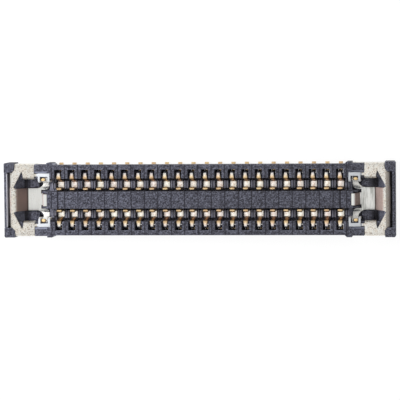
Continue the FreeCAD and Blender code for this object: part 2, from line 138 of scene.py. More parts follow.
class HousingSettings(bpy.types.PropertyGroup):
    edge_round: length("Edge round", "Rounding of the moulded edges", 0.010 * MM)
    sharp_angle: angle("Sharp angle", "Edges sharper than this aren't shaded smooth", 40)
    least_edge: length("Least edge", "Shorter edges stay sharp", 0.03 * MM)
    round_from: length("Round from", "Edges that reach lower than this stay sharp", 0.10 * MM)
    plastic: colour("Plastic", "Moulded plastic", (0.052, 0.052, 0.072))
    plastic_dark: colour("Dark grain", "Dark grain, mould lines and shaded foot", (0.005, 0.004, 0.010))
    plastic_pale: colour("Pale grain", "Paler grain and rubbed spots", (0.179, 0.187, 0.242))
    # Painted light: paler tone in the recesses, with streaks of grain
    plastic_recess_light: colour("Deep plastic", "Streaked plastic in the recesses", (0.235, 0.235, 0.291))
    # Painted highlight: paler line on the rounded edges
    plastic_edge_highlight: colour("Edge plastic", "Paler line on the rounded edges", (0.235, 0.248, 0.318))
    underside: length("Underside", "Below this height the plastic is plain", 0.02 * MM)
    deep_floor: length("Deep floor", "Below this height nothing turns paler", 0.12 * MM)
    deep_from: length("Deep from", "Height below which the recesses turn paler", 0.27 * MM)
    deep_fade: length("Deep fade", "Height over which that tone fades out", 0.08 * MM)
    trench_half: length("Trench half", "Half width between the long walls", 0.70 * MM)
    shade_x: length("Shade X", "Middle of the dark foot of the windows' slope", 4.56 * MM)
    shade_half: length("Shade half", "Half width of that dark foot", 0.07 * MM)
    shade_fade: length("Shade fade", "Width over which it fades out", 0.05 * MM)
    window_half: length("Window half", "Half width over the windows", 0.78 * MM)
    window_top: length("Window top", "Underside of the sheet round the windows", 0.50 * MM)
    # Painted light: paler walls of the left end groove
    groove: colour("Groove", "Rubbed, pale walls of the end groove", (0.60, 0.60, 0.66))
    groove_from: length("Groove from", "Where the end groove begins, from the middle", 4.90 * MM)
    groove_to: length("Groove to", "End bar's inner face, from the middle", 5.045 * MM)
    groove_drop: length("Groove drop", "Groove's top below the housing's top", 0.02 * MM)
    grain_size: length("Grain size", "Size of the grain in the plastic", 0.048 * MM)
    rubbed_size: length("Rubbed size", "Size of the rubbed spots", 0.0384 * MM)
    streak_size: length("Streak size", "Width of the streaks in the recesses", 0.04 * MM)
    grain_depth: length("Grain depth", "Depth of the grain", 0.003 * MM)
    end_line: length("End line", "Dark line across the island, from the middle", 3.685 * MM)
    line_core: length("Line core", "Half width of a mould line's dark core", 0.005 * MM)
    line_width: length("Line width", "Half width over a mould line's soft sides", 0.020 * MM)


class FittingSettings(bpy.types.PropertyGroup):
    edge_round: length("Edge round", "Rounding of the sheared edges", 0.006 * MM)
    sharp_angle: angle("Sharp angle", "Edges sharper than this aren't shaded smooth", 45)
    least_edge: length("Least edge", "Shorter edges stay sharp", 0.015 * MM)
    tip_round: length("Tip round", "Rounding of the windows' corners", 0.022 * MM)
    least_tip: length("Least tip", "Shorter upright edges aren't window corners", 0.03 * MM)
    arm_drop: length("Arm drop", "Arm's crest below the housing's top", 0.095 * MM)
    dome_x: length("Dome X", "From the middle to a dome along the rows", 4.085 * MM)
    dome_y: length("Dome Y", "From the middle to a dome across the rows", 0.535 * MM)
    dome_width: length("Dome width", "Half width of a dome", 0.060 * MM)
    dome_depth: length("Dome depth", "Half depth of a dome", 0.042 * MM)
    dome_rise: length("Dome rise", "How far a dome stands out of the arm", 0.035 * MM)
    ramp_half: length("Ramp half", "Half width of the ramp and the middle hook", 0.335 * MM)
    frame_end: length("Frame end", "From the middle to where the small frames end", 4.25 * MM)
    frame_foot: length("Frame foot", "Height from which the frames are plated cooler", 0.53 * MM)
    plate_top: length("Plate top", "Height below which the ramp and floor plate lie", 0.40 * MM)
    rim_foot: length("Rim foot", "Height at which the rims' rubbed tone begins", 0.25 * MM)
    rim_top: length("Rim top", "Height at which that tone is full", 0.50 * MM)
    crease_x: length("Crease X", "From the middle to the crease at the ramp's foot", 4.565 * MM)
    crease_core: length("Crease core", "Half width of the crease's dark core", 0.006 * MM)
    crease_half: length("Crease half", "Half width over the crease's soft sides", 0.028 * MM)
    fold_shade_width: length("Fold width", "Width of the dull band on the right outer fold", 0.125 * MM)
    left_fold_shade_width: length("Left fold width", "The same on the left fold", 0.0375 * MM)
    streak_turn: length("Streak turn", "Where the streaks have grown in, each side", 1.0 * MM)
    patch_size: length("Patch size", "Size of the warm patches", 0.09 * MM)
    rolling_size: length("Rolling size", "Width of the fine rolling marks", 0.05 * MM)
    streak_size: length("Streak size", "Width of the streaks on the floor plate", 0.07 * MM)
    speck_size: length("Speck size", "Size of the brown specks", 0.035 * MM)
    rolling_depth: length("Rolling depth", "Depth of the rolling marks", 0.001 * MM)
    # The light's direction; faces turned from it get painted shade
    slope_toward: direction("Slope toward", "Faces turned from this count as steep", (-0.30, 0.0, 0.954))
    metal: colour("Metal", "Plated sheet", (0.93, 0.94, 0.91))
    metal_warm: colour("Warm tint", "Warm patches in the plating of the rims", (0.91, 0.81, 0.67))
    # Painted light: brighter copy of the plating on the spring arms
    arm: colour("Arm", "Bright plating on the spring arms", (0.97, 0.96, 0.92))
    # Painted shade: darker copy of the plating on the small frames
    frame: colour("Frame", "Cooler plating on the small frames", (0.54, 0.56, 0.59))
    # Rolling marks; their extra strength on the right fitting is painted shade
    streak: colour("Streak", "Rolling streaks on the floor plate", (0.42, 0.43, 0.40))
    # Painted reflection: pinkish tone of the sloping faces
    blush: colour("Blush", "Pinkish tone of the sloping faces", (0.50, 0.33, 0.30))
    # Painted shade: brown tone of the faces turned from the light
    slope: colour("Slope tint", "Brown tone of the steep faces", (0.24, 0.17, 0.15))
    # Painted shade: grey-brown band on the outer fold
    fold: colour("Fold", "Grey-brown sheet on the outer fold", (0.33, 0.30, 0.27))
    speck: colour("Specks", "Brown specks on the rubbed rims", (0.30, 0.21, 0.15))
    # Painted shade: dark round the domes and in the creases
    shade: colour("Shade", "Dark plating round the domes and in the creases", (0.05, 0.035, 0.03))
    gilt: colour("Gilt", "Gold on the pressed domes of the spring arms", (0.83, 0.60, 0.30))


class ContactSettings(bpy.types.PropertyGroup):
    thickness: length("Thickness", "Thickness of the strip", 0.06 * MM)
    foot_width: length("Foot width", "Width of the flat foot plate", 0.175 * MM)
    leg_width: length("Leg width", "Width of the folded crown and its legs", 0.107 * MM)
    spring_width: length("Spring width", "Width of the spring leg", 0.145 * MM)
    tail_length: length("Tail", "From the tail's end to the middle of the outer leg", 0.255 * MM)
    crown_span: length("Crown span", "Between the middles of the two legs", 0.15 * MM)
    crown_radius: length("Crown radius", "Middle radius of the crown's inner fold", 0.055 * MM)
    crown_outer_radius: length("Crown outer radius", "Middle radius of its outer fold", 0.04 * MM)
    crown_foot: length("Crown foot", "Below the crown, where the outer leg narrows faster", 0.066 * MM)
    neck_narrow: share("Neck narrowing", "Outer leg there as a share of the leg's width", 0.9)
    crown_narrow: share("Crown narrowing", "Crown's outer fold as a share of the leg's width", 0.75)
    fold_radius: length("Fold radius", "Middle radius of the foot's folds", 0.045 * MM)
    foot_height: length("Foot height", "Middle of the foot plate above the board", 0.10 * MM)
    leg_lean: length("Leg lean", "How far the inner leg leans in toward its foot", 0.065 * MM)
    flare_height: length("Flare height", "Above the foot plate, where the leg begins to widen", 0.09 * MM)
    flare_foot: length("Flare foot", "Above the foot plate, where it is nearly as wide", 0.054 * MM)
    flare_lean: share("Flare lean", "Share of the lean left where it begins to widen", 0.25)
    flare_foot_lean: share("Flare foot lean", "Share of the lean left where it is nearly as wide", 0.15)
    flare_narrow: share("Flare narrowing", "Width there as a share of the foot plate's", 0.95)
    bulge_drop: length("Bulge drop", "Top of the touching bulge below the crown", 0.05 * MM)
    bulge_height: length("Bulge height", "Height of the sloped part of the spring", 0.15 * MM)
    bulge_reach: length("Bulge reach", "How far the bulge stands out of the spring", 0.040 * MM)
    bulge_radius: length("Bulge radius", "Middle radius of the bulge", 0.035 * MM)
    bulge_narrow: share("Bulge narrowing", "Bulge as a share of the spring's width", 0.9)
    tip_return: length("Tip return", "How far the tip turns back to the island", 0.060 * MM)
    tip_narrow: share("Tip narrowing", "Tip as a share of the spring's width", 0.55)
    unit_width: length("Unit width", "Half width that a spread of 1 stands for", 0.1 * MM)
    fold_steps: IntProperty(name="Fold steps", description="Steps in each fold", default=5, min=1)
    edge_round: length("Edge round", "Rounding of the stamped edges", 0.007 * MM)
    bevel_angle: angle("Bevel angle", "Edges flatter than this aren't rounded", 50)
    sharp_angle: angle("Sharp angle", "Edges sharper than this aren't shaded smooth", 50)
    seed: IntProperty(name="Seed", description="Seed of the small differences in tone", default=7)
    grain_size: length("Grain size", "Size of the fine grain", 0.03 * MM)
    mottle_size: length("Mottle size", "Size of the worn spots", 0.06 * MM)
    grain_depth: length("Grain depth", "Depth of the fine grain", 0.001 * MM)
    nickel: colour("Nickel", "Bare band on the crown", (0.97, 0.98, 1.0))
    gold: colour("Gold", "Gold on the spring and the tail", (0.92, 0.70, 0.42))
    # Worn spots, and painted shade in a band on the inner leg
    copper_wear_and_shade: colour("Copper", "Bared copper at the foot of the inner leg", (0.62, 0.34, 0.16))
    pale_gold: colour("Pale gold", "Thin plating on the foot plate", (1.0, 0.98, 0.95))
    pink_tint: colour("Pink tint", "Tint of the pinkest contacts", (1.0, 0.93, 0.91))
    green_tint: colour("Green tint", "Tint of the greenest contacts", (0.98, 0.98, 0.91))
    # Painted shade: dark brown on the hidden outer leg in its pocket
    dull: colour("Dull", "Bare metal on the hidden outer leg", (0.20, 0.15, 0.10))


class StageSettings(bpy.types.PropertyGroup):
    distance: length("Camera distance", "From the camera to its aim", 65 * MM)
    tilt_x: angle("Tilt toward +X", "How far the camera stands toward +X", 7.0)
    tilt_y: angle("Tilt toward +Y", "How far the camera stands toward +Y", 3.4)
    roll: angle("Roll", "Turn of the camera about its own line of sight", -0.58)
    view_width: length("View width", "Width seen at the camera's aim", 10.36 * MM)
    aim_x: length("Aim X", "Camera's aim along the rows, at the housing's top", 0.054 * MM)
    aim_y: length("Aim Y", "Camera's aim across the rows", -0.003 * MM)
    floor_colour: colour("Floor", "Pale floor", (0.88, 0.88, 0.88))
    floor_white: share("Floor white", "Share of plain white that the camera sees in it", 0.85)
    floor_half: length("Floor half", "Half width of the floor", 500 * MM)
    floor_drop: length("Floor drop", "Floor below the board face, clear of it", 0.005 * MM)
    sky_toward: direction("Sky toward", "Where the studio is brightest", (-0.45, 0.0, 0.89))
    key_place: place("Key place", "Lamp on the left", (-12 * MM, 3 * MM, 10 * MM))
    key_width: length("Key width", "Width of that lamp", 8 * MM)
    key_power: power("Key power", "Power of that lamp", 0.0021)
    overhead_place: place("Overhead place", "Lamp that glints in the contacts", (-6 * MM, -4 * MM, 50 * MM))
    overhead_width: length("Overhead width", "Width of that lamp", 10 * MM)
    overhead_power: power("Overhead power", "Power of that lamp", 0.0004)


def settings(name):
    return getattr(bpy.context.scene, name)


def opaque(rgb):
    return (rgb[0], rgb[1], rgb[2], 1.0)


def output(made, source):
    """The output socket that a text such as "split.Z" or "turned.0" names."""
    node, socket = source.split(".")
    return made[node].outputs[int(socket) if socket.isdigit() else socket]


def build(tree, specs):
    """Adds nodes by name. Each value is set on the node's property, or on its input socket, of that
    name or number. A text with a dot links the socket to an output of a node that came before."""
    made = {}
    for name, (kind, values) in specs.items():
        node = tree.nodes.new(kind)
        node.name = name
        node.label = name
        for key, value in values.items():
            if isinstance(key, str) and hasattr(node, key):
                setattr(node, key, value)
            elif isinstance(value, str) and "." in value:
                tree.links.new(output(made, value), node.inputs[key])
            else:
                node.inputs[key].default_value = value
        made[name] = node


def maths(operation, *values, **more):
    return ("ShaderNodeMath", {"operation": operation, **more, **dict(enumerate(values))})


def vectors(operation, *values):
    return ("ShaderNodeVectorMath", {"operation": operation, **dict(enumerate(values))})


def span(source, low, high, at_low, at_high):
    """Maps values from low to high onto those from at_low to at_high, and holds them there."""
    return ("ShaderNodeMapRange", {
        "Value": source, "From Min": low, "From Max": high, "To Min": at_low, "To Max": at_high,
    })


def mix(under, over, factor):
    return ("ShaderNodeMix", {"data_type": "RGBA", "A": under, "B": over, "Factor": factor})


def chain(name, operation, *sources):
    """Maths nodes that combine several sources one after the other. The last has the name."""
    specs = {}
    result = sources[0]
    for i, source in enumerate(sources[1:], 2):
        step = name if i == len(sources) else f"{name} {i}"
        specs[step] = maths(operation, result, source)
        result = step + ".0"
    return specs


def layers(under, coats):
    """Colours laid over one another, each with a name and the source of its factor."""
    specs = {}
    for name, rgb, factor in coats:
        specs[name] = mix(under, opaque(rgb), factor)
        under = name + ".Result"
    return specs


def node_group(name, kind, takes, gives, specs):
    """A node group, made the first time it is asked for."""
    if name in bpy.data.node_groups:
        return bpy.data.node_groups[name]
    group = bpy.data.node_groups.new(name, kind)
    for label, socket_kind, default in takes:
        socket = group.interface.new_socket(label, in_out="INPUT", socket_type=socket_kind)
        if default is not None:
            socket.default_value = default
    for label, socket_kind in gives:
        group.interface.new_socket(label, in_out="OUTPUT", socket_type=socket_kind)
    build(group, specs)
    return group


def grain_group():
    """Two sizes of irregular grain on the object's own coordinates, as a mask and a height."""
    return node_group("surface grain", "ShaderNodeTree", [
        ("Size", "NodeSocketFloat", 0.03 * MM),
        ("Stretch", "NodeSocketVector", (1.0, 1.0, 1.0)),
        ("Contrast", "NodeSocketFloat", 1.0),
        ("Fine share", "NodeSocketFloat", 0.4),
    ], [("Mask", "NodeSocketFloat"), ("Height", "NodeSocketFloat")], {
        "in": ("NodeGroupInput", {}),
        "place": ("ShaderNodeTexCoord", {}),
        "stretch": vectors("MULTIPLY", "place.Object", "in.Stretch"),
        "per size": maths("DIVIDE", 1.0, "in.Size"),
        "coarse": ("ShaderNodeTexNoise", {
            "Vector": "stretch.0", "Scale": "per size.0", "Detail": 3.0, "Roughness": 0.6,
        }),
        "fine scale": maths("MULTIPLY", "per size.0", 3.7),
        "fine": ("ShaderNodeTexNoise", {
            "Vector": "stretch.0", "Scale": "fine scale.0", "Detail": 2.0, "Roughness": 0.7,
        }),
        "both": ("ShaderNodeMix", {
            "data_type": "FLOAT", "Factor": "in.Fine share", "A": "coarse.Fac", "B": "fine.Fac",
        }),
        "centred": maths("SUBTRACT", "both.Result", 0.5),
        "scaled": maths("MULTIPLY", "centred.0", "in.Contrast"),
        "shifted": maths("ADD", "scaled.0", 0.5, use_clamp=True),
        "out": ("NodeGroupOutput", {"Mask": "shifted.0", "Height": "both.Result"}),
    })


def grain(size, contrast, fine_share, stretch=(1.0, 1.0, 1.0)):
    return ("ShaderNodeGroup", {
        "node_tree": grain_group(), "Size": size, "Stretch": stretch, "Contrast": contrast,
        "Fine share": fine_share,
    })


def mould_line_group():
    """Fine lines across the part at each boundary of the pitch and one across the island's end, as
    masks. The third mask is the length of the rows."""
    return node_group("mould lines", "ShaderNodeTree", [
        ("Pitch", "NodeSocketFloat", 0.35 * MM),
        ("Core", "NodeSocketFloat", 0.005 * MM),
        ("Width", "NodeSocketFloat", 0.02 * MM),
        ("Reach", "NodeSocketFloat", 4.0 * MM),
        ("End line", "NodeSocketFloat", 3.7 * MM),
        ("Island half", "NodeSocketFloat", 0.2 * MM),
    ], [("Mask", "NodeSocketFloat"), ("End mask", "NodeSocketFloat"), ("Rows", "NodeSocketFloat")], {
        "in": ("NodeGroupInput", {}),
        "place": ("ShaderNodeTexCoord", {}),
        "split": ("ShaderNodeSeparateXYZ", {"Vector": "place.Object"}),
        "half pitch": maths("MULTIPLY", "in.Pitch", 0.5),
        "from line": maths("PINGPONG", "split.X", "half pitch.0"),
        "line": span("from line.0", "in.Core", "in.Width", 1.0, 0.0),
        "from middle": maths("ABSOLUTE", "split.X"),
        "within rows": maths("LESS_THAN", "from middle.0", "in.Reach"),
        "row line": maths("MULTIPLY", "line.Result", "within rows.0"),
        "off end line": maths("SUBTRACT", "from middle.0", "in.End line"),
        "from end line": maths("ABSOLUTE", "off end line.0"),
        "near end line": maths("LESS_THAN", "from end line.0", "in.Width"),
        "across": maths("ABSOLUTE", "split.Y"),
        "on island": maths("LESS_THAN", "across.0", "in.Island half"),
        "end line": maths("MULTIPLY", "near end line.0", "on island.0"),
        "out": ("NodeGroupOutput", {
            "Mask": "row line.0", "End mask": "end line.0", "Rows": "within rows.0",
        }),
    })


def new_material(name, specs):
    material = bpy.data.materials.new(name)
    material.use_nodes = True
    material.node_tree.nodes.clear()
    build(material.node_tree, specs)
    return material


def housing_plastic():
    """Dark, slightly bluish moulded plastic with grain and mould lines, a painted highlight on its edges,
    painted light in its recesses and end groove, and painted shade at the foot of the windows' slope.
    """
    size = settings("connector_housing")
    return new_material("housing plastic", {
        "place": ("ShaderNodeTexCoord", {}),
        "split": ("ShaderNodeSeparateXYZ", {"Vector": "place.Object"}),
        "outward": maths("ABSOLUTE", "split.X"),
        "sideways": maths("ABSOLUTE", "split.Y"),
        "grain": grain(size.grain_size, contrast=8.5, fine_share=0.45),
        "rubbed": grain(size.rubbed_size, contrast=8.5, fine_share=0.45),
        "pale share": span("rubbed.Mask", 0.55, 1.0, 0.0, 0.7),
        # Painted light: below a height the recesses between the long walls turn paler, with streaks of
        # grain
        "lines": ("ShaderNodeGroup", {
            "node_tree": mould_line_group(), "Pitch": PITCH, "Core": size.line_core,
            "Width": size.line_width, "Reach": LAST_X + PITCH, "End line": size.end_line,
            "Island half": CONTACT_LOW.y,
        }),
        "deep": span("split.Z", size.deep_from, size.deep_from + size.deep_fade, 1.0, 0.0),
        "above board": maths("GREATER_THAN", "split.Z", size.deep_floor),
        "inside walls": maths("LESS_THAN", "sideways.0", size.trench_half),
        "streaks": grain(size.streak_size, contrast=6.0, fine_share=0.3, stretch=(1.0, 0.1, 0.1)),
        "streak share": maths("MULTIPLY_ADD", "streaks.Mask", 0.5, 0.4, use_clamp=True),
        **chain(
            "in trench", "MULTIPLY",
            "deep.Result", "above board.0", "lines.Rows", "inside walls.0", "streak share.0",
        ),
        # Painted shade: dark foot of the windows' slope
        "off shade": maths("SUBTRACT", "outward.0", size.shade_x),
        "from shade": maths("ABSOLUTE", "off shade.0"),
        "shade band": span(
            "from shade.0", size.shade_half, size.shade_half + size.shade_fade, 0.85, 0.0
        ),
        "below sheet": maths("LESS_THAN", "split.Z", size.window_top),
        "in window": maths("LESS_THAN", "sideways.0", size.window_half),
        **chain("window shade", "MULTIPLY", "shade band.Result", "below sheet.0", "in window.0"),
        # Painted light: paler walls in the groove behind the left end bar
        "past groove": maths("LESS_THAN", "split.X", -size.groove_from),
        "inside bar": maths("GREATER_THAN", "split.X", -size.groove_to),
        "below top": maths("LESS_THAN", "split.Z", TOP - size.groove_drop),
        **chain(
            "in groove", "MULTIPLY", "past groove.0", "inside bar.0", "inside walls.0", "below top.0"
        ),
        # Painted highlight: paler plastic on the rounded edges, which face none of the axes
        "facing": ("ShaderNodeNewGeometry", {}),
        "turned": vectors("ABSOLUTE", "facing.True Normal"),
        "axes": ("ShaderNodeSeparateXYZ", {"Vector": "turned.0"}),
        **chain("flatness", "MAXIMUM", "axes.X", "axes.Y", "axes.Z"),
        "edge share": span("flatness.0", 0.80, 0.95, 0.75, 0.0),
        "line share": maths("MULTIPLY", "lines.Mask", 0.95),
        "any line": maths("MAXIMUM", "line share.0", "lines.End mask"),
        **layers(opaque(size.plastic_dark), [
            ("grained", size.plastic, "grain.Mask"),
            ("paled", size.plastic_pale, "pale share.Result"),
            # Painted light in the recesses
            ("streaked", size.plastic_recess_light, "in trench.0"),
            ("shaded", size.plastic_dark, "window shade.0"),
            # Painted light in the left end groove
            ("grooved", size.groove, "in groove.0"),
            ("edged", size.plastic_edge_highlight, "edge share.Result"),
            ("lined", size.plastic_dark, "any line.0"),
        ]),
        "off underside": maths("GREATER_THAN", "split.Z", size.underside),
        "coloured": mix("paled.Result", "lined.Result", "off underside.0"),
        "roughness": span("grain.Mask", 0.0, 1.0, 0.42, 0.68),
        "bump": ("ShaderNodeBump", {
            "Height": "grain.Height", "Strength": 0.5, "Distance": size.grain_depth,
        }),
        "surface": ("ShaderNodeBsdfPrincipled", {
            "Base Color": "coloured.Result", "Roughness": "roughness.Result", "Normal": "bump.Normal",
            "IOR": 1.45,
        }),
        "out": ("ShaderNodeOutputMaterial", {"Surface": "surface.BSDF"}),
    })


def fitting_metal():
    """Plated spring sheet: pale, with warm and specked rims and streaks on its floor; painted light on its
    arms, a painted reflection on its slopes and brown painted shade on the slopes turned from the light, on
    the outer folds, round the domes and in the crease.
    """
    size = settings("connector_fitting")
    dome = (size.dome_x, size.dome_y, TOP - size.arm_drop)
    return new_material("fitting metal", {
        "place": ("ShaderNodeTexCoord", {}),
        "split": ("ShaderNodeSeparateXYZ", {"Vector": "place.Object"}),
        "mirrored": vectors("ABSOLUTE", "place.Object"),
        "sizes": ("ShaderNodeSeparateXYZ", {"Vector": "mirrored.0"}),
        "facing": ("ShaderNodeNewGeometry", {}),
        # Parts of the sheet
        "outer part": maths("GREATER_THAN", "sizes.X", size.frame_end),
        "inner part": maths("SUBTRACT", 1.0, "outer part.0"),
        "off middle": maths("GREATER_THAN", "sizes.Y", size.ramp_half),
        "in middle": maths("SUBTRACT", 1.0, "off middle.0"),
        "arm": maths("MULTIPLY", "inner part.0", "off middle.0"),
        "frame top": maths("GREATER_THAN", "split.Z", size.frame_foot),
        "frame": maths("MULTIPLY", "frame top.0", "arm.0"),
        "low": maths("LESS_THAN", "split.Z", size.plate_top),
        "low middle": maths("MULTIPLY", "low.0", "in middle.0"),
        # Rims
        "rim height": span("split.Z", size.rim_foot, size.rim_top, 0.15, 1.0),
        "rim": maths("MULTIPLY", "rim height.Result", "outer part.0"),
        "patches": grain(size.patch_size, contrast=2.5, fine_share=0.5),
        "patch share": span("patches.Mask", 0.2, 1.0, 0.0, 1.0),
        "warmth": maths("MULTIPLY", "patch share.Result", "rim.0"),
        "specks": grain(size.speck_size, contrast=4.0, fine_share=0.35),
        "speck share": span("specks.Mask", 0.62, 0.85, 0.0, 0.75),
        "rim specks": maths("MULTIPLY", "rim.0", "speck share.Result"),
        # Slopes: a pinkish painted reflection on the sloping faces of the middle, and a brown painted shade
        # on the faces turned from the light
        "axes": ("ShaderNodeSeparateXYZ", {"Vector": "facing.True Normal"}),
        "sloping": span("axes.Z", 0.65, 0.92, 0.75, 0.0),
        "blush share": maths("MULTIPLY", "sloping.Result", "in middle.0"),
        "toward": vectors("DOT_PRODUCT", "facing.True Normal", tuple(size.slope_toward)),
        "steep": span("toward.Value", 0.3, 0.8, 0.95, 0.0),
        "slope share": maths("MULTIPLY", "steep.Result", "in middle.0"),
        # Streaks on the floor plate: rolling marks, laid on stronger on the right fitting as painted shade
        "streaks": grain(size.streak_size, contrast=5.0, fine_share=0.4, stretch=(1.0, 0.07, 1.0)),
        "streak share": span("streaks.Mask", 0.45, 0.9, 0.0, 1.0),
        "to the right": span("split.X", -size.streak_turn, size.streak_turn, 0.15, 0.75),
        **chain("floor streaks", "MULTIPLY", "streak share.Result", "to the right.Result", "low middle.0"),
        # Painted shade: a grey-brown band where the sheet turns down over the outer folds
        "fold right": maths("GREATER_THAN", "split.X", FITTING_END - size.fold_shade_width),
        "fold left": maths("LESS_THAN", "split.X", size.left_fold_shade_width - FITTING_END),
        "fold": maths("MAXIMUM", "fold right.0", "fold left.0"),
        "fold share": maths("MULTIPLY", "fold.0", 0.8),
        # Painted shade round the domes and in the crease at the ramp's foot
        "off dome": vectors("SUBTRACT", "mirrored.0", dome),
        "per dome": vectors(
            "DIVIDE", "off dome.0", (size.dome_width, size.dome_depth, size.dome_rise)
        ),
        "dome reach": vectors("LENGTH", "per dome.0"),
        "near dome": span("dome reach.Value", 1.35, 1.75, 0.9, 0.0),
        "off crease": maths("SUBTRACT", "sizes.X", size.crease_x),
        "from crease": maths("ABSOLUTE", "off crease.0"),
        "crease": span("from crease.0", size.crease_core, size.crease_half, 0.85, 0.0),
        "crease share": maths("MULTIPLY", "crease.Result", "low middle.0"),
        "any shade": maths("MAXIMUM", "near dome.Result", "crease share.0"),
        "gilt": ("ShaderNodeAttribute", {"attribute_name": "gilt"}),
        **layers(opaque(size.metal), [
            ("warmed", size.metal_warm, "warmth.0"),
            # Painted light on the spring arms
            ("brightened", size.arm, "arm.0"),
            # Painted shade on the small frames
            ("framed", size.frame, "frame.0"),
            # Streaks, with painted shade on the right fitting
            ("streaked", size.streak, "floor streaks.0"),
            # Painted reflection on the sloping faces
            ("blushed", size.blush, "blush share.0"),
            # Painted shade on the faces turned from the light
            ("sloped", size.slope, "slope share.0"),
            # Painted shade on the outer folds
            ("folded", size.fold, "fold share.0"),
            ("specked", size.speck, "rim specks.0"),
            ("shaded", size.shade, "any shade.0"),
            ("gilded", size.gilt, "gilt.Fac"),
        ]),
        "dull part": maths("MAXIMUM", "arm.0", "blush share.0"),
        "metal share": span("dull part.0", 0.0, 1.0, 1.0, 0.05),
        "rolling": grain(size.rolling_size, contrast=2.0, fine_share=0.5, stretch=(1.0, 0.12, 1.0)),
        "roughness": span("rolling.Mask", 0.0, 1.0, 0.36, 0.52),
        "bump": ("ShaderNodeBump", {
            "Height": "rolling.Height", "Strength": 0.2, "Distance": size.rolling_depth,
        }),
        "surface": ("ShaderNodeBsdfPrincipled", {
            "Base Color": "gilded.Result", "Metallic": "metal share.Result",
            "Roughness": "roughness.Result", "Normal": "bump.Normal",
        }),
        "out": ("ShaderNodeOutputMaterial", {"Surface": "surface.BSDF"}),
    })


def contact_metal():
    """Stamped strip: gold, with bands along it of nickel and thin gold, bands of painted shade, dark brown
    on the hidden outer leg and reddish-brown on the inner leg, and worn reddish-brown spots.
    """
    size = settings("connector_contacts")
    material = new_material("contact metal", {
        "along": ("ShaderNodeAttribute", {"attribute_name": "along"}),
        "bands": ("ShaderNodeValToRGB", {"Fac": "along.Fac"}),
        "mottle": grain(size.mottle_size, contrast=6.0, fine_share=0.3),
        "worn share": span("mottle.Mask", 0.55, 1.0, 0.0, 0.35),
        "worn": mix("bands.Color", opaque(size.copper_wear_and_shade), "worn share.Result"),
        "tone": ("ShaderNodeAttribute", {"attribute_name": "tone"}),
        "hue": mix(opaque(size.pink_tint), opaque(size.green_tint), "tone.Fac"),
        "tinted": vectors("MULTIPLY", "worn.Result", "hue.Result"),
        "tone share": span("tone.Fac", 0.0, 1.0, 0.88, 1.0),
        "toned": ("ShaderNodeVectorMath", {
            "operation": "SCALE", 0: "tinted.0", "Scale": "tone share.Result",
        }),
        "grain": grain(size.grain_size, contrast=2.0, fine_share=0.5),
        "roughness": span("grain.Mask", 0.0, 1.0, 0.22, 0.40),
        "bump": ("ShaderNodeBump", {
            "Height": "grain.Height", "Strength": 0.2, "Distance": size.grain_depth,
        }),
        "surface": ("ShaderNodeBsdfPrincipled", {
            "Base Color": "toned.0", "Metallic": 1.0, "Roughness": "roughness.Result",
            "Normal": "bump.Normal",
        }),
        "out": ("ShaderNodeOutputMaterial", {"Surface": "surface.BSDF"}),
    })
    stops = [
        (0.00, size.gold),
        (0.12, size.gold),
        # Painted shade on the hidden outer leg
        (0.15, size.dull),
        (0.24, size.dull),
        (0.28, size.nickel),
        (0.40, size.nickel),
        (0.45, size.gold),
        # Painted shade: reddish-brown band on the inner leg
        (0.52, size.copper_wear_and_shade),
        (0.60, size.copper_wear_and_shade),
        (0.64, size.pale_gold),
        (0.80, size.pale_gold),
        (0.86, size.gold),
    ]
    ramp = material.node_tree.nodes["bands"].color_ramp
    for element, (along, rgb) in zip(ramp.elements, (stops[0], stops[-1])):
        element.position = along
        element.color = opaque(rgb)
    for along, rgb in stops[1:-1]:
        ramp.elements.new(along).color = opaque(rgb)
    return material


